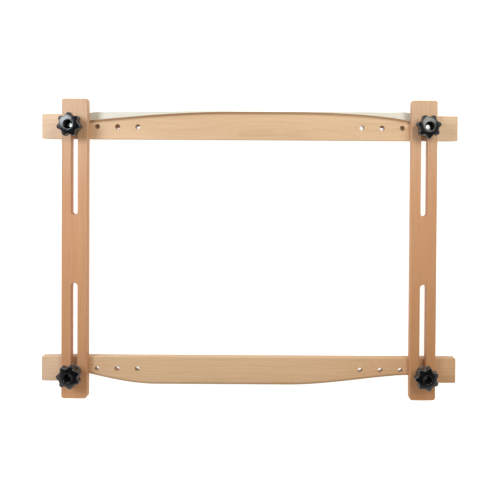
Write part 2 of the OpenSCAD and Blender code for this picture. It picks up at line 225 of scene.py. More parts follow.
class StageSettings(bpy.types.PropertyGroup):
    floor_size: length("Floor size", "Width of the floor", 12000)
    left_power: FloatProperty(name="Left power", description="Power of the left lamp, in watts",
                              default=7.8, min=0.0)
    right_power: FloatProperty(name="Right power", description="Power of the right lamp, in watts",
                               default=4.5, min=0.0)
    left_tint: colour("Left tint", "Colour of the left lamp", (0.88, 0.95, 1.0))
    right_tint: colour("Right tint", "Colour of the right lamp", (0.97, 1.0, 0.90))
    left_size: length("Left size", "Width of the square left lamp", 445)
    right_size: length("Right size", "Width of the square right lamp", 425)
    fill: factor("Fill", "Brightness of the light from all round", 0.36, 2.0)
    fill_tint: colour("Fill tint", "Colour of the light from all round", (1.0, 0.90, 0.74))
    paper: factor("Paper", "How much of its own white the floor shows to the eye", 0.82)
    ceiling: factor("Ceiling", "Brightness that shiny surfaces find overhead", 0.02)
    focal_length: FloatProperty(name="Focal length", description="Focal length of the lens",
                                default=36.09, min=1.0, unit="CAMERA")


# Surfaces. A plan is an array of complex numbers, x + iy, and a grid is rows by columns of points.

def lift(plan, height):
    """Points of space over the numbers x + iy of a plan, at the given heights."""
    plan, height = np.broadcast_arrays(plan, height)
    return np.stack([plan.real, plan.imag, height], axis=-1)


def outward_of(outline):
    """Unit normals of a closed outline that runs anticlockwise: its tangent, from the point
    before to the point after, turned a quarter turn clockwise."""
    along = np.roll(outline, -1) - np.roll(outline, 1)
    return -1j * along / np.abs(along)


def arc(centre, radius, start, end, steps):
    """Points of a circle from one angle to another."""
    return centre + radius * np.exp(1j * np.linspace(start, end, steps + 1))


def corner_arc(x, y, radius, quarter):
    """Rounded corner of an outline that runs anticlockwise, about x and y. It starts the given
    number of quarter turns from +X."""
    return arc(complex(x, y), radius, quarter * pi / 2, (quarter + 1) * pi / 2, CORNER_STEPS)


def eased_wall(outline, outward, radius, back, front, steps, border=None):
    """Grids of points and normals of a wall that runs along a closed outline from the back to
    the front and rounds over into both faces. At an angle a from the face, a rounding of radius
    r stands in by r (1 - sin a) and down by r (1 - cos a), and its normal is sin a outward and
    cos a towards the face. A border adds a strip of the flat face, as wide as it says."""
    a = np.linspace(0, pi / 2, steps + 1)[:, None]
    stand_in = radius * (1 - np.sin(a))
    if border is not None:
        a = np.concatenate([a[:1], a])
        stand_in = np.concatenate([stand_in[:1] + border, stand_in])
    plan = outline - outward * stand_in
    drop = radius * (1 - np.cos(a))
    lean = outward * np.sin(a)
    points = np.concatenate([lift(plan, back + drop), lift(plan, front - drop)[::-1]])
    normals = np.concatenate([lift(lean, -np.cos(a)), lift(lean, np.cos(a))[::-1]])
    return points, normals


def turned(radius, height, plan):
    """Grid of a turned surface: each row's radius times the plan's unit numbers, at its height."""
    return lift(np.asarray(radius)[:, None] * plan, np.asarray(height)[:, None])


def circle(columns):
    """Unit numbers evenly round a circle."""
    return np.exp(1j * tau * np.arange(columns) / columns)


def grid_faces(shape, first, wrap_rows, wrap_columns):
    """Quads between neighbouring points of a grid whose first point has the given number."""
    index = first + np.arange(shape[0] * shape[1]).reshape(shape[:2])
    if wrap_rows:
        index = np.concatenate([index, index[:1]])
    if wrap_columns:
        index = np.concatenate([index, index[:, :1]], axis=1)
    corners = [index[:-1, :-1], index[:-1, 1:], index[1:, 1:], index[1:, :-1]]
    return np.stack(corners, axis=-1).reshape(-1, 4)


def fill_faces(mesh, back, front):
    """Fills the flat back and front between the open rims that lie on them."""
    for height in (back, front):
        rims = [e for e in mesh.edges
                if e.is_boundary and all(abs(v.co.z - height) < 0.01 * MM for v in e.verts)]
        bmesh.ops.triangle_fill(mesh, use_beauty=True, edges=rims, normal=(0, 0, 1))


def new_piece(name, grids, material, body, node, normals=None, wrap_rows=False,
              wrap_columns=True, faces_at=None, sharp=35.0, values=None):
    """Makes one piece of several grids, closes it, and puts it in the place of its node.
    faces_at gives the back and front heights of a plate; other open rims are capped."""
    counts = np.cumsum([0] + [g.shape[0] * g.shape[1] for g in grids])
    points = np.concatenate([g.reshape(-1, 3) for g in grids])
    quads = np.concatenate([grid_faces(g.shape, first, wrap_rows, wrap_columns)
                            for g, first in zip(grids, counts)])
    data = bpy.data.meshes.new(name)
    data.from_pydata(points.tolist(), [], quads.tolist())
    mesh = bmesh.new()
    mesh.from_mesh(data)
    if faces_at:
        fill_faces(mesh, *faces_at)
    elif wrap_columns and not wrap_rows:
        bmesh.ops.holes_fill(mesh, edges=[e for e in mesh.edges if e.is_boundary])
    bmesh.ops.recalc_face_normals(mesh, faces=mesh.faces)
    mesh.to_mesh(data)
    mesh.free()
    data.shade_smooth()
    data.set_sharp_from_angle(angle=radians(sharp))
    if normals is not None:
        data.normals_split_custom_set_from_vertices(
            np.concatenate([n.reshape(-1, 3) for n in normals]).tolist())
    for attribute, numbers in (values or {}).items():
        layer = data.attributes.new(attribute, "FLOAT", "POINT")
        flat = np.concatenate([n.ravel() for n in numbers])
        layer.data.foreach_set("value", flat.astype(np.float32))
    data.materials.append(material)
    piece = bpy.data.objects.new(name, data)
    bpy.context.scene.collection.objects.link(piece)
    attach(piece, body)
    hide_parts(node)
    return piece


# Material nodes

def add(tree, kind, inputs=(), **properties):
    """A new node with its properties set, and its inputs linked or set."""
    made = tree.nodes.new(kind)
    for key, value in properties.items():
        setattr(made, key, value)
    for key, value in dict(inputs).items():
        if isinstance(value, bpy.types.NodeSocket):
            tree.links.new(value, made.inputs[key])
        else:
            made.inputs[key].default_value = value
    return made


def calc(tree, operation, *values, clamp=False):
    """Output of a math node."""
    made = add(tree, "ShaderNodeMath", enumerate(values), operation=operation, use_clamp=clamp)
    return made.outputs[0]


def vector(tree, operation, *values):
    """Outputs of a vector math node: first its vector, and under "Value" its number."""
    return add(tree, "ShaderNodeVectorMath", enumerate(values), operation=operation).outputs


def remap(tree, value, low, high, to_low=0.0, to_high=1.0):
    """The value's share of the way from low to high, smoothly, from to_low to to_high."""
    inputs = {"Value": value, "From Min": low, "From Max": high, "To Min": to_low,
              "To Max": to_high}
    return add(tree, "ShaderNodeMapRange", inputs, interpolation_type="SMOOTHSTEP").outputs[0]


def blend(tree, share, first, second):
    """Two colours mixed by a share."""
    inputs = {0: share, 6: first, 7: second}
    return add(tree, "ShaderNodeMix", inputs, data_type="RGBA").outputs[2]


def noise(tree, place, scale, detail=2.0, output="Fac"):
    """Noise whose grain is stretched: scale gives its waves per metre along each axis."""
    inputs = {"Vector": vector(tree, "MULTIPLY", place, scale)[0], "Scale": 1.0, "Detail": detail}
    return add(tree, "ShaderNodeTexNoise", inputs).outputs[output]


def relief(tree, height, strength, depth):
    """Normal of fine relief that follows a height."""
    inputs = {"Height": height, "Strength": strength, "Distance": depth}
    return add(tree, "ShaderNodeBump", inputs).outputs[0]


def new_material(name, **sockets):
    """A material whose shader has the given plain values on its own sockets."""
    made = bpy.data.materials.new(name)
    made.use_nodes = True
    shader = made.node_tree.nodes["Principled BSDF"]
    for socket, value in sockets.items():
        shader.inputs[socket.replace("_", " ")].default_value = value
    return made, made.node_tree, shader


def wire(tree, shader, **sockets):
    """Links outputs to the shader's sockets of the given names."""
    for socket, output in sockets.items():
        tree.links.new(output, shader.inputs[socket.replace("_", " ")])


def rgba(colour_value, share=1.0):
    """A colour times a share, as four numbers."""
    return (*(c * share for c in colour_value), 1.0)


def warmed(colour_value):
    """A colour with a little less green and less blue, as four numbers."""
    red, green, blue = colour_value
    return red, green * 0.97, blue * 0.9, 1.0


# What is added to a piece's places, along and across its grain, before its figure is looked up:
# the first number gives it a figure of its own, and the others lead from its pith to the origin
PITH = {"top_rail": (0.31, -0.19, -0.072), "bottom_rail": (1.73, 0.235, -0.064),
        "left_side_bar": (0.52, -0.215, -0.105), "right_side_bar": (2.37, 0.365, -0.096)}
# The settings' colours that a piece turns to along its grain, from one place to another: painted
# light at the rails' ends and at the bars' upper ends and left foot, and painted shade at the
# bottom rail's right end and the right bar's lower half
PAINTED_LIGHT_AND_SHADE = {"top_rail": (("pale", -0.24, -0.33), ("pale", 0.26, 0.33)),
         "bottom_rail": (("pale", -0.24, -0.33), ("ruddy_painted_shade", 0.02, 0.30)),
         "left_side_bar": (("pale", 0.07, 0.26), ("painted_light_foot", -0.17, -0.25)),
         "right_side_bar": (("pale", 0.07, 0.26), ("painted_shade_foot", -0.02, -0.14))}
# Shares of a wood's red, green and blue that its darkest streaks keep
DARKEST = (0.74, 0.64, 0.52)
# Scale of the wave texture at which the growth rings lie 3.4 mm apart
RING_SCALE = 92.0


def beech(piece, shape, grain_turn, edge, edge_shade_share):
    """Fine sanded beech. Growth rings run round a pith that lies beside the piece, in lines that
    wander along the grain; over them lie soft streaks, fibres, short dark ray flecks, darker end
    grain, and, where the rim attribute says so, the edge's burnished tone with painted shade. Along
    the grain the colour turns paler at some ends with painted light and darker at others with
    painted shade."""
    material, tree, shader = new_material(f"beech_{piece}", Specular_IOR_Level=0.6)
    wood = shape.wood
    spot = add(tree, "ShaderNodeTexCoord").outputs
    turn = {"Vector": spot["Object"], "Location": PITH[piece], "Rotation": (0, 0, grain_turn)}
    grain = add(tree, "ShaderNodeMapping", turn).outputs[0]
    drift = noise(tree, grain, (5.0, 2.0, 2.0), 1.0, "Color")
    centred = vector(tree, "SUBTRACT", drift, (0.5, 0.5, 0.5))[0]
    wander = vector(tree, "MULTIPLY_ADD", centred, (0.0, 22 * MM, 22 * MM), grain)[0]
    long_grain = vector(tree, "MULTIPLY", wander, (0.05, 1.0, 1.0))[0]
    rings = add(tree, "ShaderNodeTexWave",
                {"Vector": long_grain, "Scale": RING_SCALE, "Distortion": 1.6, "Detail": 2.0,
                 "Detail Scale": 0.6},
                wave_type="RINGS", rings_direction="X", wave_profile="SAW").outputs["Fac"]
    late = calc(tree, "POWER", rings, 4.0)
    patch = noise(tree, wander, (2.5, 16.0, 16.0), 1.0)
    streak = noise(tree, wander, (7.0, 330.0, 330.0), 3.0)
    fibre = noise(tree, wander, (60.0, 2300.0, 2300.0))
    fleck = remap(tree, noise(tree, grain, (260.0, 1500.0, 160.0), 1.0), 0.62, 0.74)

    # How dark the wood is, from its light tone at 0 to its deep one at 1
    tone = calc(tree, "MULTIPLY_ADD", late, 0.16, 0.08)
    for part, weight in ((patch, 0.6), (streak, 0.6), (fibre, 0.35)):
        tone = calc(tree, "MULTIPLY_ADD", calc(tree, "SUBTRACT", part, 0.5), weight, tone)
    tone = calc(tree, "ADD", tone, 0.16, clamp=True)
    dark = [w * d for w, d in zip(wood, DARKEST)]
    light, deep = rgba(wood, 1.1), rgba(dark)
    along = (cos(grain_turn), -sin(grain_turn), 0.0)
    place = vector(tree, "DOT_PRODUCT", spot["Object"], along)["Value"]
    # Painted light makes some ends paler and painted shade makes others darker
    for key, start, end in PAINTED_LIGHT_AND_SHADE[piece]:
        tint, share = getattr(shape, key), remap(tree, place, start, end)
        light = blend(tree, share, light, rgba(tint, 1.1))
        deep = blend(tree, share, deep, rgba(t * d for t, d in zip(tint, DARKEST)))
    base = blend(tree, tone, light, deep)
    base = blend(tree, calc(tree, "MULTIPLY", fleck, 0.3), base, rgba(dark, 0.72))

    facing = vector(tree, "DOT_PRODUCT", spot["Normal"], along)["Value"]
    end_grain = remap(tree, calc(tree, "ABSOLUTE", facing), 0.55, 0.95)
    base = blend(tree, calc(tree, "MULTIPLY", end_grain, 0.5), base, rgba(dark, 0.8))
    # The crowned edges are painted dark: a burnished tone, and painted shade where the rounding
    # turns from the lamps
    rim = add(tree, "ShaderNodeAttribute", attribute_name="rim").outputs["Fac"]
    burnish_and_painted_shade = calc(tree, "MULTIPLY", rim, remap(tree, patch, 0.2, 0.8, 0.75 * edge_shade_share, edge_shade_share))
    base = blend(tree, burnish_and_painted_shade, base, rgba(edge))
    dull = calc(tree, "MULTIPLY_ADD", streak, 0.16, 0.46)
    height = calc(tree, "MULTIPLY_ADD", fleck, -0.6, calc(tree, "ADD", fibre, late))
    wire(tree, shader, Base_Color=base, Roughness=dull, Normal=relief(tree, height, 0.12, 0.3 * MM))
    return material


def moulded_plastic(name, plastic):
    """Black moulded plastic with a fine eroded texture and faint handling marks. Its upright
    walls, where the mould drew off, are duller than its top."""
    material, tree, shader = new_material(name, Specular_IOR_Level=0.65)
    spot = add(tree, "ShaderNodeTexCoord").outputs
    upward = add(tree, "ShaderNodeSeparateXYZ", {0: spot["Normal"]}).outputs[2]
    wall = remap(tree, calc(tree, "ABSOLUTE", upward), 0.8, 0.2)
    smear = noise(tree, spot["Object"], (90.0, 90.0, 90.0), 3.0)
    dull = calc(tree, "MULTIPLY_ADD", wall, 0.14, remap(tree, smear, 0.35, 0.75, 0.18, 0.26))
    tint = blend(tree, remap(tree, smear, 0.4, 0.8), rgba(plastic), rgba(plastic, 1.6))
    eroded = noise(tree, spot["Object"], (1500.0, 1500.0, 1500.0))
    wire(tree, shader, Base_Color=tint, Roughness=dull, Normal=relief(tree, eroded, 0.10, 0.2 * MM))
    return material


def zinc_plate(name, zinc, roughness):
    """Zinc plate: metal with cloudy roughness and a faint warm and cool tint."""
    material, tree, shader = new_material(name, Metallic=1.0)
    spot = add(tree, "ShaderNodeTexCoord").outputs["Object"]
    cloud = noise(tree, spot, (300.0, 300.0, 300.0), 3.0)
    tint = blend(tree, remap(tree, cloud, 0.35, 0.65), rgba(zinc), warmed(zinc))
    dull = remap(tree, cloud, 0.3, 0.7, roughness - 0.07, roughness + 0.07)
    grain = noise(tree, spot, (2200.0, 2200.0, 2200.0))
    wire(tree, shader, Base_Color=tint, Roughness=dull, Normal=relief(tree, grain, 0.06, 0.1 * MM))
    return material


def bright_zinc(steel):
    """The bright zinc plate of the bolts, inserts and staples."""
    return shared_material("bright_zinc_plate", zinc_plate, steel.zinc, 0.4)


def ridges(tree, distance, pitch):
    """Sine waves of the given pitch along a distance."""
    return calc(tree, "SINE", calc(tree, "MULTIPLY", distance, tau / pitch))


def cotton_weave(name, cotton):
    """Cotton twill. Its UV map is in metres, along the webbing and away from its free edge. The
    ribs slant, threads cross them both ways, and the selvedge along the free edge is denser."""
    material, tree, shader = new_material(name, Roughness=0.9, Sheen_Weight=0.2,
                                          Sheen_Roughness=0.5)
    uv = add(tree, "ShaderNodeUVMap", uv_map="cloth").outputs[0]
    along, across, _ = add(tree, "ShaderNodeSeparateXYZ", {0: uv}).outputs
    ribs = ridges(tree, calc(tree, "ADD", along, across), 1.4 * MM)
    threads = ridges(tree, across, 0.6 * MM)
    picks = ridges(tree, along, 0.6 * MM)
    weave = calc(tree, "MULTIPLY_ADD", ribs, 0.5, calc(tree, "MULTIPLY", threads, 0.3))
    weave = calc(tree, "MULTIPLY_ADD", picks, 0.12, weave)
    selvedge = remap(tree, across, 1.5 * MM, 0.9 * MM)
    spot = add(tree, "ShaderNodeTexCoord").outputs["Object"]
    slub = noise(tree, spot, (900.0, 900.0, 900.0), 3.0)
    cloudy = noise(tree, spot, (30.0, 60.0, 60.0))
    shade = calc(tree, "MULTIPLY_ADD", weave, 0.16, calc(tree, "MULTIPLY_ADD", slub, 0.3, 0.3))
    shade = calc(tree, "MULTIPLY_ADD", selvedge, 0.15, shade)
    base = blend(tree, shade, rgba(cotton, 1.08), rgba(cotton, 0.84))
    base = blend(tree, calc(tree, "MULTIPLY", cloudy, 0.25), base, warmed(cotton))
    height = calc(tree, "ADD", weave, slub)
    wire(tree, shader, Base_Color=base, Normal=relief(tree, height, 0.5, 0.12 * MM))
    return material


def shared_material(name, maker, *values):
    """A material that several pieces share, made on its first use."""
    return bpy.data.materials.get(name) or maker(name, *values)


# Rails

# Shares of a side bar's width: from a bolt in to the rail's neck, and the length of a shoulder
NECK_SHARE, SHOULDER_SHARE = 0.42, 0.35
# Least wood between a hole's rim and the outer edge's rounding, and the least width on the flat
# face of the strip with the burnished tone and painted shade
HOLE_MARGIN, LEAST_STRIP = 0.3 * MM, 0.15 * MM
# How strongly each rail's crowned edge is darkened, with a burnished tone and painted shade, and
# the share of that where the rounding meets the flat face
EDGE_BURNISH_AND_SHADE, FACE_BURNISH_AND_SHADE = {"top_rail": 1.0, "bottom_rail": 0.5}, 0.6
# How far the cut corners of a pocket and of a square neck reach, as shares of the square's width
POCKET_REACH, NECK_REACH = 0.66, 0.65
# Share of a rim's radius that the middle of its rounding lies inside both faces
ROUND_MIDDLE = 0.3
# Height in which a turned surface steps from one radius to the next
STEP = 0.1 * MM


def on_shoulder(away, neck_at, shoulder):
    """Share of the way from the neck to the tab, as half a cosine."""
    return (1 - np.cos(pi * np.clip((away - neck_at) / shoulder, 0, 1))) / 2


def rail_height(away, neck_at, shoulder, tab, crown, neck, flat, softness):
    """Height of a rail at a distance from its middle: the crown, then a sine curve down to the
    neck, then half a cosine up to the tab."""
    share = np.clip((neck_at - away) / (neck_at - flat), 0, 1)
    bow = neck + (crown - neck) * np.sin(pi / 2 * share ** softness)
    return np.where(away <= neck_at, bow,
                    neck + (tab - neck) * on_shoulder(away, neck_at, shoulder))


def rail_steps():
    """Distance of the necks from the middle, and length of the shoulders behind the side bars."""
    bar_width = span("left_side_bar").x
    return BOLT_X - NECK_SHARE * bar_width, SHOULDER_SHARE * bar_width


def rail_edge(shape, rail, x):
    """Height of a rail over its inner edge at the places x."""
    end = rail.removesuffix("_rail")
    neck, flat_left, flat_right, right_softness = (
        getattr(shape, f"{end}_{key}")
        for key in ("neck", "crown_left", "crown_right", "right_softness"))
    common = (*rail_steps(), shape.tab_height, span(rail).y, neck)
    return np.where(x < 0, rail_height(-x, *common, flat_left, shape.softness),
                    rail_height(x, *common, flat_right, right_softness))


def rail_outline(shape, rail, fade):
    """Closed outline of a rail over its inner edge: straight inner edge and ends, quarter-circle
    corners, and the curved outer edge. With it, the radius of the rounding all along, which leaves
    the rims of the holes whole, the width of the strip in which the crowned edge's burnished tone
    and painted shade fade, and their share, which ends where the shoulders begin."""
    corner = shape.tab_corner
    reach = span(rail).x / 2 - corner
    low, high = corner, shape.tab_height - corner
    inner = np.linspace(-reach, reach, INNER_EDGE_POINTS)[1:-1]
    x = np.linspace(reach, -reach, OUTER_EDGE_POINTS)[1:-1]
    y = rail_edge(shape, rail, x)
    outline = np.concatenate([
        inner, corner_arc(reach, low, corner, -1), corner_arc(reach, high, corner, 0),
        x + 1j * y, corner_arc(-reach, high, corner, 1), corner_arc(-reach, low, corner, 2)])

    tab = on_shoulder(np.abs(x), *rail_steps())
    room = y - (BOLT_Y - INNER_EDGE) - shape.hole_diameter / 2 - shape.hole_ease - HOLE_MARGIN
    edge = np.minimum(shape.outer_round + (shape.tab_round - shape.outer_round) * tab, room)
    at_corner = CORNER_STEPS + 1
    eased = np.full(inner.size + at_corner, shape.inner_round)
    to_tab = np.linspace(shape.inner_round, shape.tab_round, at_corner)
    radius = np.concatenate([eased, to_tab, edge, to_tab[::-1], eased[:at_corner]])
    before, after = np.zeros(inner.size + 2 * at_corner), np.zeros(2 * at_corner)
    strip = np.clip(room - edge, LEAST_STRIP, fade)
    border = np.concatenate([before + LEAST_STRIP, strip, after + LEAST_STRIP])
    burnish_and_shade = np.concatenate([before, 1 - tab, after])
    return outline, radius, border, burnish_and_shade


def square_radius(plan, width, reach):
    """Radius of a square in each direction, its corners cut off at a share of its width."""
    flat = np.maximum(np.abs(plan.real), np.abs(plan.imag))
    return np.minimum(width / 2 / flat, width * reach)


def bolt_pocket(radius, square, depth, back, front, ease):
    """Grid of a hole that takes a square neck: at the back its radius is that of the square or of
    the bore, whichever is larger, and above the neck it is the bore's. Rims are eased."""
    plan = circle(BOLT_COLUMNS)
    wide = np.maximum(square_radius(plan, square, POCKET_REACH), radius)
    part = ROUND_MIDDLE * ease
    rows = [(wide + ease, back), (wide + part, back + part), (wide, back + ease),
            (wide, back + depth), (radius, back + depth + STEP), (radius, front - ease),
            (radius + part, front - part), (radius + ease, front)]
    return np.stack([lift(plan * r, z) for r, z in rows])


class FRAME_OT_rails(bpy.types.Operator):
    """Make the two crowned rails that carry the work"""
    bl_idname = "embroidery_frame.rails"
    bl_label = "Rails"

    def execute(self, context):
        shape, steel = context.scene.frame_rails, context.scene.frame_hardware
        faces, row = (RAIL_BACK, RAIL_FRONT), BOLT_Y - INNER_EDGE
        bore, spin = shape.hole_diameter / 2, circle(HOLE_COLUMNS)
        pocket = bolt_pocket(bore, steel.neck_square, steel.neck_depth, *faces, shape.hole_ease)
        # Share of the burnished tone and painted shade in each row of the rounding, from the flat
        # face
        fade = np.array([0, FACE_BURNISH_AND_SHADE] + RAIL_EDGE_STEPS * [1])
        for rail, side in RAILS.items():
            outline, radius, border, burnish_and_shade = rail_outline(shape, rail,
                                                            shape.burnish_shade_fade * EDGE_BURNISH_AND_SHADE[rail])
            walls = [eased_wall(outline, outward_of(outline), radius, *faces, RAIL_EDGE_STEPS,
                                border)]
            for end in (-1, 1):
                for i in range(1, shape.holes):
                    loop = complex(end * (BOLT_X - i * shape.hole_pitch), row) + bore * spin
                    walls.append(eased_wall(loop, -spin, shape.hole_ease, *faces, RIM_STEPS))
                walls.append((pocket + (end * BOLT_X, row, 0), np.zeros(pocket.shape)))
            for points, normals in walls:
                points[..., 1] = side * (INNER_EDGE + points[..., 1])
                normals[..., 1] *= side
            grids, normals = zip(*walls)
            # The rim attribute carries the crowned edge's burnished tone and painted shade
            rims = [np.concatenate([fade, fade[::-1]])[:, None] * burnish_and_shade]
            rims += [np.zeros(g.shape[:2]) for g in grids[1:]]
            wood = beech(rail, shape, 0.0, shape.edge, EDGE_BURNISH_AND_SHADE[rail])
            new_piece(f"{rail}_beech", grids, wood, rail, rail, normals=normals,
                      faces_at=faces, values={"rim": rims})
        return {"FINISHED"}


# Side bars

def bar_outline(shape, width, height):
    """Closed outline of a side bar about its middle: straight sides with quarter-circle corners."""
    top, bottom = shape.top_corner, shape.bottom_corner
    x, y = width / 2, height / 2
    side = np.linspace(bottom - y, y - top, BAR_SIDE_POINTS)[1:-1]
    return np.concatenate([
        corner_arc(x - bottom, bottom - y, bottom, -1), x + 1j * side,
        corner_arc(x - top, y - top, top, 0), corner_arc(top - x, y - top, top, 1),
        -x + 1j * side[::-1], corner_arc(bottom - x, bottom - y, bottom, 2)])


def slot_outline(middle_y, length_over_all, width):
    """Closed outline of a slot along Y, and the unit numbers that point from the wood into it:
    two half circles joined by straight sides."""
    half = length_over_all / 2 - width / 2
    turn = np.exp(1j * np.linspace(0, pi, SLOT_END_POINTS))
    side = 1j * np.linspace(half, -half, SLOT_SIDE_POINTS)[1:-1]
    upper, lower = width / 2 * turn + 1j * half, -width / 2 * turn - 1j * half
    outline = np.concatenate([upper, -width / 2 + side, lower, width / 2 - side])
    into = -np.concatenate([turn, -np.ones(side.size), -turn, np.ones(side.size)])
    return outline + 1j * middle_y, into


class FRAME_OT_side_bars(bpy.types.Operator):
    """Make the two slotted side bars that lie over the rails"""
    bl_idname = "embroidery_frame.side_bars"
    bl_label = "Side bars"

    def execute(self, context):
        shape, steel = context.scene.frame_bars, context.scene.frame_hardware
        slot_middle = (BOLT_Y + steel.bolt_diameter / 2 + shape.stop_gap) - shape.slot_length / 2
        for bar in ("left_side_bar", "right_side_bar"):
            size, centre = span(bar), middle(bar)
            faces = (centre.z - size.z / 2, centre.z + size.z / 2)
            outline = bar_outline(shape, size.x, size.y) + complex(centre.x, centre.y)
            walls = [eased_wall(outline, outward_of(outline), shape.edge_round, *faces,
                                BAR_EDGE_STEPS)]
            for end in (-1, 1):
                loop, into = slot_outline(end * slot_middle, shape.slot_length, shape.slot_width)
                walls.append(eased_wall(loop + centre.x, into, shape.slot_ease, *faces, RIM_STEPS))
            grids, normals = zip(*walls)
            wood = beech(bar, shape, -pi / 2, shape.wood, 0.0)
            new_piece(f"{bar}_beech", grids, wood, "side_bars", bar, normals=normals,
                      faces_at=faces)
        return {"FINISHED"}


# Bolts, washers and inserts

# Where a thread's flank starts and how far it runs, as shares of half a pitch from its crest
CREST, FLANK = 0.125, 0.65
# Rows of a bolt's domed head, as shares of its radius, and then round its rim, as shares of the
# radius with how far they lie behind its underside
CAP = (0.05, 0.15, 0.27, 0.4, 0.52, 0.64, 0.75, 0.85, 0.93, 0.975)
HEAD_RIM = ((1.0, 0.28 * MM), (0.995, 0.06 * MM), (0.985, 0.0))
# The square neck's width at its root, as a share, and the height in which that widening ends;
# and the height in which its corners fall at its end, and the radius that they fall to
ROOT_WIDTH, ROOT_HEIGHT = 1.02, 0.2 * MM
NECK_FALL, NECK_END = 0.5 * MM, 4.3 * MM
# Plain shank between the neck and the thread, and turns in which the thread reaches its depth
PLAIN_SHANK, RUN_IN = 1.6 * MM, 2
# A washer's section, rolled over at the front by the punch: rows in millimetres outside its bore
# or inside its outer wall, and above its back or below its front
WASHER_BORE_BACK, WASHER_BORE_FRONT = ((0.15, 0), (0, 0.15)), ((0, 0.35), (0.3, 0.08), (0.7, 0))
WASHER_RIM_FRONT, WASHER_RIM_BACK = ((0.7, 0), (0.25, 0.12), (0, 0.5)), ((0, 0.15), (0.12, 0))
# Ridges of the knurl round an insert, their slant in radians a millimetre, and their depth
KNURL_RIDGES, KNURL_SLANT, KNURL_DEPTH = 24, 2.6, 0.16 * MM
# Half the width of the insert's groove, its depth, the bevel of its ends, and its thread's slack
GROOVE_HALF, GROOVE_DEPTH, INSERT_BEVEL, THREAD_SLACK = 0.7 * MM, 0.4 * MM, 0.4 * MM, 0.09 * MM


def thread_radius(height, plan, radius, pitch, depth):
    """Radius of a right-hand thread at each height and direction: the crest lies where the height,
    less a pitch for each turn, is half a pitch over a whole number of them, and straight flanks
    fall from it to a flat root."""
    phase = height / pitch - np.angle(plan) / tau
    from_crest = np.abs(2 * (phase % 1.0) - 1)
    return radius - depth * np.clip((from_crest - CREST) / FLANK, 0, 1)


def carriage_bolt(steel, head, tip):
    """Grid of a carriage bolt from its domed head to its chamfered tip, as rows of a radius for
    each direction: a sphere's cap, its rim, the underside, the square neck, and the thread."""
    plan = circle(BOLT_COLUMNS)
    around = np.ones(plan.size)
    radius = span("top_left_bolt").x / 2
    ball = (radius ** 2 + head ** 2) / (2 * head)
    rows = [(r * around, ball - np.sqrt(ball ** 2 - r ** 2)) for r in radius * np.array(CAP)]
    rows += [(radius * share * around, head - behind) for share, behind in HEAD_RIM]
    square = square_radius(plan, steel.neck_square, NECK_REACH)
    neck_top, shank = head + steel.neck_depth, steel.bolt_diameter / 2
    start = neck_top + PLAIN_SHANK
    rows += [(square * ROOT_WIDTH, head), (square, head + ROOT_HEIGHT),
             (square, neck_top - NECK_FALL), (np.minimum(square, NECK_END), neck_top),
             (shank * around, neck_top + STEP), (shank * around, start)]
    z = np.append(np.arange(start + STEP, tip, steel.thread_pitch / THREAD_ROWS), tip)
    spiral = thread_radius(z[:, None], plan, shank, steel.thread_pitch, steel.thread_depth)
    run_in = np.clip((z - start) / (RUN_IN * steel.thread_pitch), 0, 1)[:, None]
    spiral = shank + (spiral - shank) * run_in
    limit = shank - np.clip(z - (tip - steel.tip_chamfer), 0, None)[:, None]
    radii = np.concatenate([np.stack([r for r, _ in rows]), np.minimum(spiral, limit)])
    heights = np.concatenate([[h for _, h in rows], z])
    return lift(radii * plan, heights[:, None])


class FRAME_OT_bolts(bpy.types.Operator):
    """Make the four carriage bolts, with their threads"""
    bl_idname = "embroidery_frame.bolts"
    bl_label = "Bolts"

    def execute(self, context):
        steel = context.scene.frame_hardware
        zinc, grid = bright_zinc(steel), carriage_bolt(steel, RAIL_BACK, BOLT_TIP)
        for corner, place in CROSSINGS.items():
            new_piece(f"{corner}_carriage_bolt", [grid + place], zinc,
                      f"{corner.split('_')[0]}_rail", f"{corner}_bolt", sharp=28)
        return {"FINISHED"}


class FRAME_OT_washers(bpy.types.Operator):
    """Make the four stamped washers"""
    bl_idname = "embroidery_frame.washers"
    bl_label = "Washers"

    def execute(self, context):
        steel = context.scene.frame_hardware
        zinc = shared_material("dull_zinc_plate", zinc_plate, steel.dull_zinc, 0.55)
        for corner, place in CROSSINGS.items():
            size = span(f"{corner}_washer")
            outer, bore = size.x / 2, steel.washer_bore / 2
            rows = [(bore + out * MM, up * MM) for out, up in WASHER_BORE_BACK]
            rows += [(bore + out * MM, size.z - down * MM) for out, down in WASHER_BORE_FRONT]
            rows += [(outer - into * MM, size.z - down * MM) for into, down in WASHER_RIM_FRONT]
            rows += [(outer - into * MM, up * MM) for into, up in WASHER_RIM_BACK]
            radius, height = np.array(rows).T
            grid = turned(radius, height + BAR_FRONT, circle(WASHER_COLUMNS))
            new_piece(f"{corner}_stamped_washer", [grid + place], zinc,
                      f"{corner}_washer", f"{corner}_washer", wrap_rows=True, sharp=50)
        return {"FINISHED"}


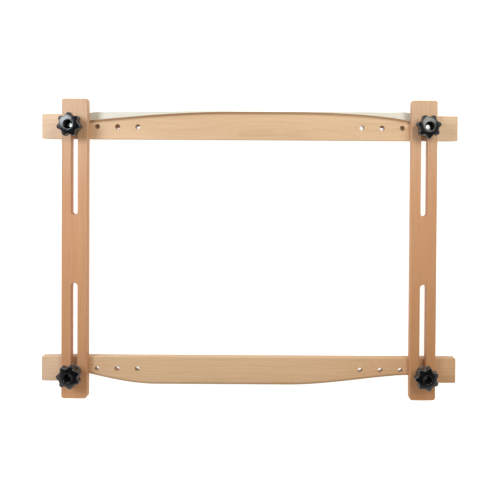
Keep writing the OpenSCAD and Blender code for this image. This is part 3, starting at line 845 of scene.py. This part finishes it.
def knurled_insert(steel, knob, base):
    """Grid of a threaded insert, a closed ring: outside, a knurl of crossed ridges with a smooth
    groove round its middle; inside, the same thread as the bolt's, a hair wider."""
    plan = circle(INSERT_COLUMNS)
    outer, tall = knob.insert_diameter / 2, knob.insert_length
    z = np.linspace(INSERT_BEVEL, tall - INSERT_BEVEL, KNURL_ROWS)[:, None]
    turn, slant = KNURL_RIDGES * np.angle(plan), z / MM * KNURL_SLANT
    crossing = np.cos(turn + slant) * np.cos(turn - slant)
    groove = np.exp(-((z - tall / 2) / GROOVE_HALF) ** 4)
    knurl = outer - KNURL_DEPTH * (1 - np.abs(crossing)) * (1 - groove) - GROOVE_DEPTH * groove
    end = np.full((1, plan.size), outer - INSERT_BEVEL)
    outside = lift(np.concatenate([end, knurl, end]) * plan,
                   np.concatenate([[[0.0]], z, [[tall]]]) + base)
    depth_at = np.append(np.arange(tall, 0, -steel.thread_pitch / THREAD_ROWS), 0.0)[:, None]
    bore = thread_radius(depth_at + base, plan, steel.bolt_diameter / 2, steel.thread_pitch,
                         steel.thread_depth) + THREAD_SLACK
    return np.concatenate([outside, lift(bore * plan, depth_at + base)])


class FRAME_OT_inserts(bpy.types.Operator):
    """Make the four threaded inserts that are moulded into the knobs"""
    bl_idname = "embroidery_frame.inserts"
    bl_label = "Inserts"

    def execute(self, context):
        steel, knob = context.scene.frame_hardware, context.scene.frame_knobs
        zinc, grid = bright_zinc(steel), knurled_insert(steel, knob, KNOB_BASE)
        for corner, place in CROSSINGS.items():
            new_piece(f"{corner}_threaded_insert", [grid + place], zinc,
                      f"{corner}_knob", f"{corner}_insert", wrap_rows=True, sharp=28)
        return {"FINISHED"}


# Knobs

# Radii of the fillet under the lobes and of the bolt's hole in the recess's floor
FILLET, FLOOR_BORE = 1.2 * MM, 4.2 * MM
# Rounded edges of a knob's foot, of its lobes' underside and of its recess's floor: how far each
# row lies inside the wall and above the face
FOOT_EDGE = ((0.5 * MM, 0.0), (0.15 * MM, 0.15 * MM), (0.0, 0.5 * MM))
LOBE_EDGE = ((0.9 * MM, 0.0), (0.3 * MM, 0.25 * MM), (0.0, 0.9 * MM))
FLOOR_EDGE = ((0.0, 0.6 * MM), (0.2 * MM, 0.15 * MM), (0.6 * MM, 0.0))


def star_loop(knob):
    """Outline of the lobes and its outward normals, as unit numbers. Each lobe is an arc of a
    small circle and each grip notch an arc of a wider one outside it, and they share their
    tangents where they meet."""
    step = tau / knob.lobes
    lobe_centre = knob.diameter / 2 - knob.lobe_radius
    offset = knob.lobe_radius - knob.notch_floor / 2
    notch_centre = (lobe_centre ** 2 - offset ** 2) / (2 * (lobe_centre * cos(step / 2) + offset))
    notch_radius = notch_centre - knob.notch_floor / 2
    lobe_sweep = atan2(notch_centre * sin(step / 2), notch_centre * cos(step / 2) - lobe_centre)
    notch_sweep = lobe_sweep - step / 2
    lobe = np.exp(1j * lobe_sweep * np.linspace(-1, 1, LOBE_POINTS))
    across = np.linspace(1, -1, NOTCH_POINTS)[1:-1]
    notch = np.exp(1j * (step / 2 + pi + notch_sweep * across))
    outline = np.concatenate([lobe_centre + knob.lobe_radius * lobe,
                              notch_centre * np.exp(0.5j * step) + notch_radius * notch])
    outward = np.concatenate([lobe, -notch])
    turns = np.exp(1j * step * np.arange(knob.lobes))[:, None]
    return (turns * outline).ravel(), (turns * outward).ravel()


def stairs(last, steps):
    """Column of the numbers from 0 to last in equal steps, without the 0."""
    return np.linspace(0, last, steps + 1)[1:, None]


def star_knob(knob, height):
    """Grid of a star knob, a closed ring of rows. From the bore for the insert it runs under the
    hub, up the hub, out under the lobes, up their walls, over a rounding into the domed top, down
    the recess, and through the web. The dome falls with the square of the distance from the
    recess, and the rounding's arc ends where its slope is the dome's."""
    outline, outward = star_loop(knob)
    distance = np.abs(outline)
    towards = outline / distance
    recess, hub, bore = knob.recess_diameter / 2, knob.hub_diameter / 2, knob.insert_diameter / 2
    outer, notch, lip = knob.diameter / 2, knob.notch_floor / 2, knob.recess_lip
    web_top = knob.insert_length + knob.recess_web

    def dome(r):
        return height - knob.dome_drop * ((r - recess) / (outer - recess)) ** 2

    def ring(r, z):
        return lift(towards * r, z)[None]

    nose = np.clip((distance - notch) / (outer - notch), 0, 1)
    rim = knob.notch_round + (knob.rim_round - knob.notch_round) * nose
    slope = np.arctan(2 * knob.dome_drop * (distance - rim - recess) / (outer - recess) ** 2)
    last = pi / 2 - slope
    end_plan = outline - outward * (rim * (1 - np.cos(last)) + knob.draft)
    rim_low = dome(np.abs(end_plan)) - rim * np.sin(last)
    over = stairs(1, KNOB_RIM_STEPS) * last
    t = stairs(1, DOME_STEPS)
    inward = end_plan * (1 - t) + towards * (recess + lip) * t
    down = stairs(pi / 2, LIP_STEPS)
    fillet = np.linspace(0, pi / 2, FILLET_STEPS + 1)[:, None]
    return np.concatenate([
        ring(bore, 0.0), *(ring(hub - inside, up) for inside, up in FOOT_EDGE),
        lift(towards * (hub + FILLET * (1 - np.cos(fillet))),
             knob.hub_height - FILLET * (1 - np.sin(fillet))),
        *(lift(outline - outward * inside, knob.hub_height + up)[None] for inside, up in LOBE_EDGE),
        lift(outline - outward * knob.draft, rim_low)[None],
        lift(outline - outward * (rim * (1 - np.cos(over)) + knob.draft),
             rim_low + rim * np.sin(over)),
        lift(inward, dome(np.abs(inward))),
        lift(towards * (recess + lip * (1 - np.sin(down))), height - lip * (1 - np.cos(down))),
        *(ring(recess - inside, web_top + up) for inside, up in FLOOR_EDGE),
        ring(FLOOR_BORE, web_top), ring(FLOOR_BORE, knob.insert_length),
        ring(bore, knob.insert_length)])


class FRAME_OT_knobs(bpy.types.Operator):
    """Make the four star knobs"""
    bl_idname = "embroidery_frame.knobs"
    bl_label = "Knobs"

    def execute(self, context):
        knob = context.scene.frame_knobs
        plastic = shared_material("moulded_black_plastic", moulded_plastic, knob.plastic)
        for corner, place in CROSSINGS.items():
            grid = star_knob(knob, span(f"{corner}_knob").z)
            turn = np.exp(1j * getattr(knob, f"{corner}_turn"))
            plan = (grid[..., 0] + 1j * grid[..., 1]) * turn
            points = lift(plan, grid[..., 2] + KNOB_BASE) + place
            new_piece(f"{corner}_star_knob", [points], plastic,
                      f"{corner}_knob", f"{corner}_knob", wrap_rows=True, sharp=50)
        return {"FINISHED"}


# Webbing and staples

# Where the top webbing's left end starts to draw in, and the run in which it does; and the same
# of the bend at the bottom webbing's right end
DRAW_FROM, DRAW_RUN = 80 * MM, 170 * MM
BEND_FROM, BEND_RUN = 70 * MM, 107 * MM
# Distance past the rail's rounded edge at which a webbing hangs loose with its full sag
LOOSE = 18 * MM
# Share, wavelength and phase of each wave of the free edge's ripples, and the height and
# wavelength of its wander in the cloth's own plane
RIPPLES = ((1.0, 0.083, 0.7), (0.6, 0.047, 2.1))
WANDER, WANDER_LENGTH = 0.25 * MM, 0.061
# Radius of a staple's bends as a share of its wire's thickness, and the power of its section,
# a circle at 2 and squarer above
STAPLE_BEND, STAPLE_POWER = 0.8, 3

def smooth(share):
    """Smooth step: 3 s squared less 2 s cubed, for a share s held between 0 and 1."""
    s = np.clip(share, 0, 1)
    return s * s * (3 - 2 * s)


def free_edge_drop(cloth, rail, x):
    """How far a webbing's free edge lies nearer to the rail's inner edge, in smooth steps: at the
    top webbing's left end, which draws in, and at the bottom one's right end, which bends."""
    if rail == "top_rail":
        return cloth.left_slack * smooth((-x - DRAW_FROM) / DRAW_RUN)
    return cloth.right_bend * smooth((x - BEND_FROM) / BEND_RUN)


def fixed_edge(cloth, shape, rail, x):
    """Height of a webbing's fixed edge over the rail's inner edge: on the top rail it keeps its
    distance from the crowned edge and draws in as the free edge does, and on the bottom rail it
    is straight and bends with the free edge."""
    drop = free_edge_drop(cloth, rail, x)
    if rail == "top_rail":
        return rail_edge(shape, rail, x) - cloth.overlap + drop
    return -INNER_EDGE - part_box("bottom_webbing")[0].y - cloth.bottom_width - drop


def tape(cloth, shape, rail, side):
    """Grid of a webbing on a rail's back, along and across it, and its UV in metres. Where it
    stands past the rail's rounded edge it sags with the square of that distance and ripples a
    little, and its free corners droop with the square of the distance from where that begins."""
    low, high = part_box(rail.replace("rail", "webbing"))
    half = (high.x - low.x) / 2
    free_edge = max(abs(low.y), abs(high.y)) - INNER_EDGE
    x = np.linspace(-half, half, WEBBING_ROWS)[:, None]
    t = np.linspace(0, 1, WEBBING_COLUMNS)[None, :]
    fixed = fixed_edge(cloth, shape, rail, x)
    width = free_edge - free_edge_drop(cloth, rail, x) - fixed
    corner = np.clip((np.abs(x) - (half - cloth.corner_run)) / cloth.corner_run, 0, 1)
    up = fixed + width * t - cloth.corner_droop * corner ** 2 * t ** 2
    free = np.clip(up - (rail_edge(shape, rail, x) - shape.outer_round), 0, None)
    loose = free / LOOSE
    wave = sum(share * np.sin(tau * x / run + phase) for share, run, phase in RIPPLES)
    z = (low.z + high.z) / 2 - cloth.sag * loose ** 2 + cloth.ripple * wave * np.clip(loose, 0, 1)
    up = up + WANDER * np.sin(tau * x / WANDER_LENGTH) * np.clip(loose, 0, 1)
    plan = x + 1j * side * (INNER_EDGE + up)
    uv = np.stack(np.broadcast_arrays(x + half, width * (1 - t)), axis=-1)
    return lift(plan, z), uv


class FRAME_OT_webbing(bpy.types.Operator):
    """Make the strip of cotton webbing on each rail's back"""
    bl_idname = "embroidery_frame.webbing"
    bl_label = "Webbing"

    def execute(self, context):
        cloth, shape = context.scene.frame_webbing, context.scene.frame_rails
        cotton = shared_material("cotton_twill", cotton_weave, cloth.cotton)
        for rail, side in RAILS.items():
            node = rail.replace("rail", "webbing")
            grid, uv = tape(cloth, shape, rail, side)
            piece = new_piece(f"{node}_cloth", [grid], cotton, rail, node,
                              wrap_columns=False)
            layer = piece.data.uv_layers.new(name="cloth")
            corners = np.zeros(len(piece.data.loops), np.int32)
            piece.data.loops.foreach_get("vertex_index", corners)
            layer.data.foreach_set("uv", uv.reshape(-1, 2)[corners].ravel().astype(np.float32))
            thick = piece.modifiers.new("thickness", "SOLIDIFY")
            thick.thickness, thick.offset = cloth.thickness, 0.0
        return {"FINISHED"}


def staple(width, wire, leg):
    """Grid of one wire staple about the middle of its crown: a rounded section carried along a
    path that runs down one leg, round a corner, along the crown, round a corner and up the
    other leg. Z runs along the legs, from the crown to the tips."""
    bend = STAPLE_BEND * wire
    x, top = width / 2 - wire / 2, leg - wire / 2
    right = arc(complex(x - bend, bend), bend, 0, -pi / 2, STAPLE_BEND_STEPS)
    path = np.concatenate([[complex(x, top)], right, -right.real[::-1] + 1j * right.imag[::-1],
                           [complex(-x, top)]])
    along = np.gradient(path)
    across = 1j * along / np.abs(along)
    a = tau * np.arange(STAPLE_COLUMNS) / STAPLE_COLUMNS
    powers = np.abs(np.cos(a)) ** STAPLE_POWER + np.abs(np.sin(a)) ** STAPLE_POWER
    radius = 0.5 * wire / powers ** (1 / STAPLE_POWER)
    place = path[:, None] + across[:, None] * (radius * np.cos(a))
    return np.stack(np.broadcast_arrays(place.real, radius * np.sin(a), place.imag), axis=-1)


class FRAME_OT_staples(bpy.types.Operator):
    """Make the rows of staples that hold the webbing"""
    bl_idname = "embroidery_frame.staples"
    bl_label = "Staples"

    def execute(self, context):
        cloth, shape = context.scene.frame_webbing, context.scene.frame_rails
        zinc = bright_zinc(context.scene.frame_hardware)
        for rail, side in RAILS.items():
            node = rail.replace("rail", "staples")
            low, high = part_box(node)
            one = staple(cloth.staple_width, cloth.staple_wire, high.z - low.z)
            reach = (high.x - low.x - cloth.staple_width) / 2
            x = np.linspace(-reach, reach, cloth.staples)
            y = side * (INNER_EDGE + fixed_edge(cloth, shape, rail, x) + cloth.staple_row)
            z = low.z + cloth.staple_wire / 2
            grids = [one + (*place, z) for place in zip(x, y)]
            new_piece(f"{node}_wire", grids, zinc, rail, node, sharp=60)
        return {"FINISHED"}


# Stage

WHITE = (1.0, 1.0, 1.0, 1.0)
# Grey of the floor's paper under the lamps
PAPER_GREY = (0.82, 0.82, 0.82, 1.0)
# Places of the lamps, and where they aim: this share of the way from the top rail to the bottom
LEFT_LAMP, RIGHT_LAMP = (-0.80, 0.49, 0.92), (0.49, 0.50, 0.925)
AIM_SHARE = 0.35
# How steeply a reflected ray climbs where the white room starts to darken, and where it is dark
WALL_TOP, CEILING_EDGE = 0.66, 0.88
# The camera's place, turn and lens shift, and the width of its sensor in millimetres
CAMERA_PLACE = (34.3 * MM, 129.7 * MM, 860.7 * MM)
CAMERA_TURN = (-0.01024, -0.00011, 0.00593)
CAMERA_SHIFT = (-0.0402, -0.1457)
SENSOR_WIDTH = 36.0


def white_to_the_eye(tree):
    """1 for what the camera, a reflection or a refraction sees, and 0 for the light that falls."""
    ray = add(tree, "ShaderNodeLightPath").outputs
    seen = calc(tree, "MAXIMUM", ray["Is Camera Ray"], ray["Is Glossy Ray"])
    return calc(tree, "MAXIMUM", seen, ray["Is Transmission Ray"])


def empty_tree(owner):
    """The node tree of a new material or world, emptied."""
    owner.use_nodes = True
    owner.node_tree.nodes.clear()
    return owner.node_tree


def paper_floor(stage):
    """A pale floor that keeps the shadow: plain diffuse paper, with some white of its own for
    what is seen directly."""
    made = bpy.data.materials.new("pale_floor")
    tree = empty_tree(made)
    paper = add(tree, "ShaderNodeBsdfDiffuse", {"Color": PAPER_GREY}).outputs[0]
    glow = calc(tree, "MULTIPLY", white_to_the_eye(tree), stage.paper)
    own = add(tree, "ShaderNodeEmission", {"Strength": glow}).outputs[0]
    both = add(tree, "ShaderNodeAddShader", {0: paper, 1: own}).outputs[0]
    add(tree, "ShaderNodeOutputMaterial", {"Surface": both})
    return made


def studio(stage):
    """A world of even light that is white to the eye, with a dark ceiling in reflections."""
    world = bpy.data.worlds.new("studio")
    tree = empty_tree(world)
    way = add(tree, "ShaderNodeTexCoord").outputs["Generated"]
    up = add(tree, "ShaderNodeSeparateXYZ", {0: way}).outputs[2]
    room = remap(tree, up, WALL_TOP, CEILING_EDGE, 1.0, stage.ceiling)
    camera_ray = add(tree, "ShaderNodeLightPath").outputs["Is Camera Ray"]
    backdrop = calc(tree, "MAXIMUM", camera_ray, room)
    fill, white = (
        add(tree, "ShaderNodeBackground", {"Color": tint, "Strength": strength}).outputs[0]
        for tint, strength in ((rgba(stage.fill_tint), stage.fill), (WHITE, backdrop)))
    both = add(tree, "ShaderNodeMixShader", {0: white_to_the_eye(tree), 1: fill, 2: white})
    add(tree, "ShaderNodeOutputWorld", {"Surface": both.outputs[0]})
    return world


class FRAME_OT_stage(bpy.types.Operator):
    """Make the floor, the two soft lamps, the light from all round and the camera"""
    bl_idname = "embroidery_frame.stage"
    bl_label = "Stage"

    def execute(self, context):
        scene, stage = context.scene, context.scene.frame_stage
        half = stage.floor_size / 2
        data = bpy.data.meshes.new("floor")
        data.from_pydata([(-half, -half, 0), (half, -half, 0), (half, half, 0), (-half, half, 0)],
                         [], [(0, 1, 2, 3)])
        data.materials.append(paper_floor(stage))
        floor = bpy.data.objects.new("floor", data)
        scene.collection.objects.link(floor)
        target = middle("top_rail").lerp(middle("bottom_rail"), AIM_SHARE)
        for side, place in (("left", LEFT_LAMP), ("right", RIGHT_LAMP)):
            name = f"lamp_{side}"
            lamp = bpy.data.lights.new(name, "AREA")
            lamp.energy, lamp.size, lamp.color = (getattr(stage, f"{side}_{key}")
                                                  for key in ("power", "size", "tint"))
            holder = bpy.data.objects.new(name, lamp)
            holder.location = place
            aim = target - holder.location
            holder.rotation_euler = aim.to_track_quat("-Z", "Y").to_euler()
            scene.collection.objects.link(holder)
        scene.world = studio(stage)
        scene.view_settings.view_transform = "Standard"
        camera = bpy.data.objects.new("camera", bpy.data.cameras.new("camera"))
        camera.data.lens, camera.data.sensor_width = stage.focal_length, SENSOR_WIDTH
        camera.data.shift_x, camera.data.shift_y = CAMERA_SHIFT
        camera.location, camera.rotation_euler = CAMERA_PLACE, CAMERA_TURN
        scene.collection.objects.link(camera)
        scene.camera = camera
        return {"FINISHED"}


class FRAME_PT_panel(bpy.types.Panel):
    """Sizes, colours and buttons of the embroidery frame"""
    bl_idname = "FRAME_PT_panel"
    bl_label = "Embroidery frame"
    bl_space_type = "VIEW_3D"
    bl_region_type = "UI"
    bl_category = "Embroidery frame"

    def draw(self, context):
        for pointer, group in GROUPS.items():
            box = self.layout.box()
            settings = getattr(context.scene, pointer)
            for key in group.__annotations__:
                box.prop(settings, key)
        for operator in OPERATORS:
            self.layout.operator(operator.bl_idname)


GROUPS = {"frame_rails": RailSettings, "frame_bars": BarSettings,
          "frame_hardware": HardwareSettings, "frame_knobs": KnobSettings,
          "frame_webbing": WebbingSettings, "frame_stage": StageSettings}
OPERATORS = (FRAME_OT_stage, FRAME_OT_rails, FRAME_OT_side_bars, FRAME_OT_bolts, FRAME_OT_washers,
             FRAME_OT_inserts, FRAME_OT_knobs, FRAME_OT_webbing, FRAME_OT_staples)


def register():
    for cls in (*GROUPS.values(), *OPERATORS, FRAME_PT_panel):
        bpy.utils.register_class(cls)
    for pointer, group in GROUPS.items():
        setattr(bpy.types.Scene, pointer, PointerProperty(type=group))


def unregister():
    for pointer in GROUPS:
        delattr(bpy.types.Scene, pointer)
    for cls in reversed((*GROUPS.values(), *OPERATORS, FRAME_PT_panel)):
        bpy.utils.unregister_class(cls)


def main():
    register()
    for operator in OPERATORS:
        getattr(bpy.ops.embroidery_frame, operator.bl_idname.split(".")[1])()


if __name__ == "__main__":
    main()
